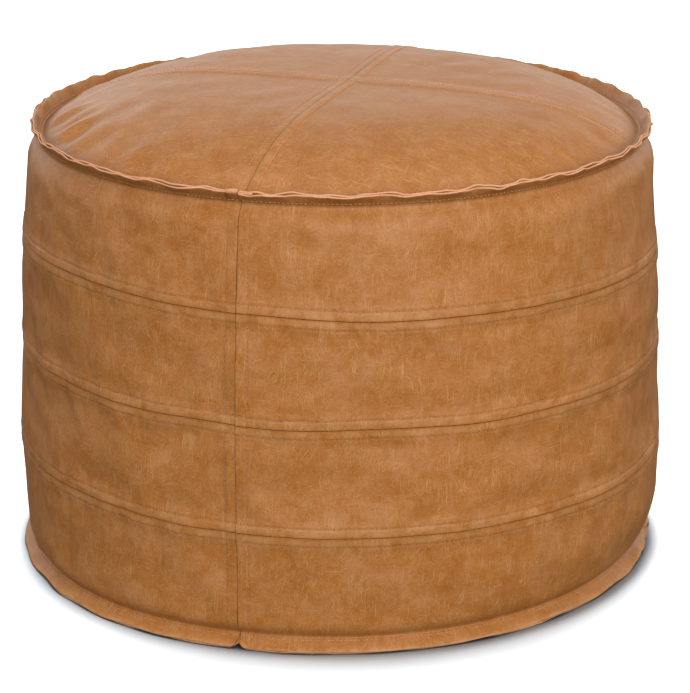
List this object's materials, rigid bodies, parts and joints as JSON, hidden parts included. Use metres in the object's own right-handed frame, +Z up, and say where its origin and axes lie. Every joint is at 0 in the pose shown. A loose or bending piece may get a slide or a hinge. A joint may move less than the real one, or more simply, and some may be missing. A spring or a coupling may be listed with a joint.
{
  "type": "round leather pouf",
  "caption": "Stuffed round floor pouf: sewn leather side bands, crowned panelled top, raw double edges and a zipped base.",
  "frame": {"origin": "centre of the base, on the floor that the pouf stands on", "axes": "+Z up through the middle of the drum; the closing seam of the side bands and one seam of the top face -Y; the zip in the base runs along X"},
  "size_m": [0.5061, 0.506, 0.3708],
  "materials": {
    "leather": "distressed caramel tan, satin, with raw edges",
    "thread_tan": "orange tan sewing thread",
    "thread_brown": "dark brown sewing thread",
    "liner_cloth": "undyed woven cotton",
    "beads": "packed polystyrene beads",
    "zip_tape": "woven tan tape",
    "zip_metal": "antique brass"
  },
  "bodies": {
    "cover": {"top_panel_front_left": "leather", "top_panel_front_right": "leather", "top_panel_back_left": "leather", "top_panel_back_right": "leather", "side_band_top": "leather", "side_band_upper": "leather", "side_band_lower": "leather", "side_band_bottom": "leather", "base_panel_front": "leather", "base_panel_back": "leather", "stitching_top_cross": "thread_tan", "stitching_top_edge": "thread_tan", "stitching_seam_upper": "thread_brown", "stitching_seam_middle": "thread_brown", "stitching_seam_lower": "thread_brown", "stitching_closing_seam": "thread_brown", "stitching_base_edge": "thread_tan", "stitching_zip": "thread_brown", "liner_top": "liner_cloth", "liner_wall": "liner_cloth", "liner_base": "liner_cloth", "stitching_liner": "liner_cloth", "bead_fill": "beads", "zip_tape_front": "zip_tape", "zip_tape_back": "zip_tape", "zip_teeth_front": "zip_metal", "zip_teeth_back": "zip_metal", "zip_top_stops": "zip_metal", "zip_bottom_stop": "zip_metal", "zip_end_tab_left": "leather", "zip_end_tab_right": "leather"},
    "slider": {"zip_slider": "zip_metal"},
    "pull_tab": {"zip_pull_tab": "zip_metal"}
  },
  "joints": [
    {"name": "zip_slide", "type": "slide", "parent": "cover", "child": "slider", "axis": [-1, 0, 0], "range_m": [0, 0.335], "deforming": ["zip_teeth_front", "zip_teeth_back"]},
    {"name": "pull_tab_hinge", "type": "hinge", "parent": "slider", "child": "pull_tab", "pos_m": [0.16, 0, 0.004], "axis": [0, -1, 0], "range_deg": [0, 170]}
  ]
}
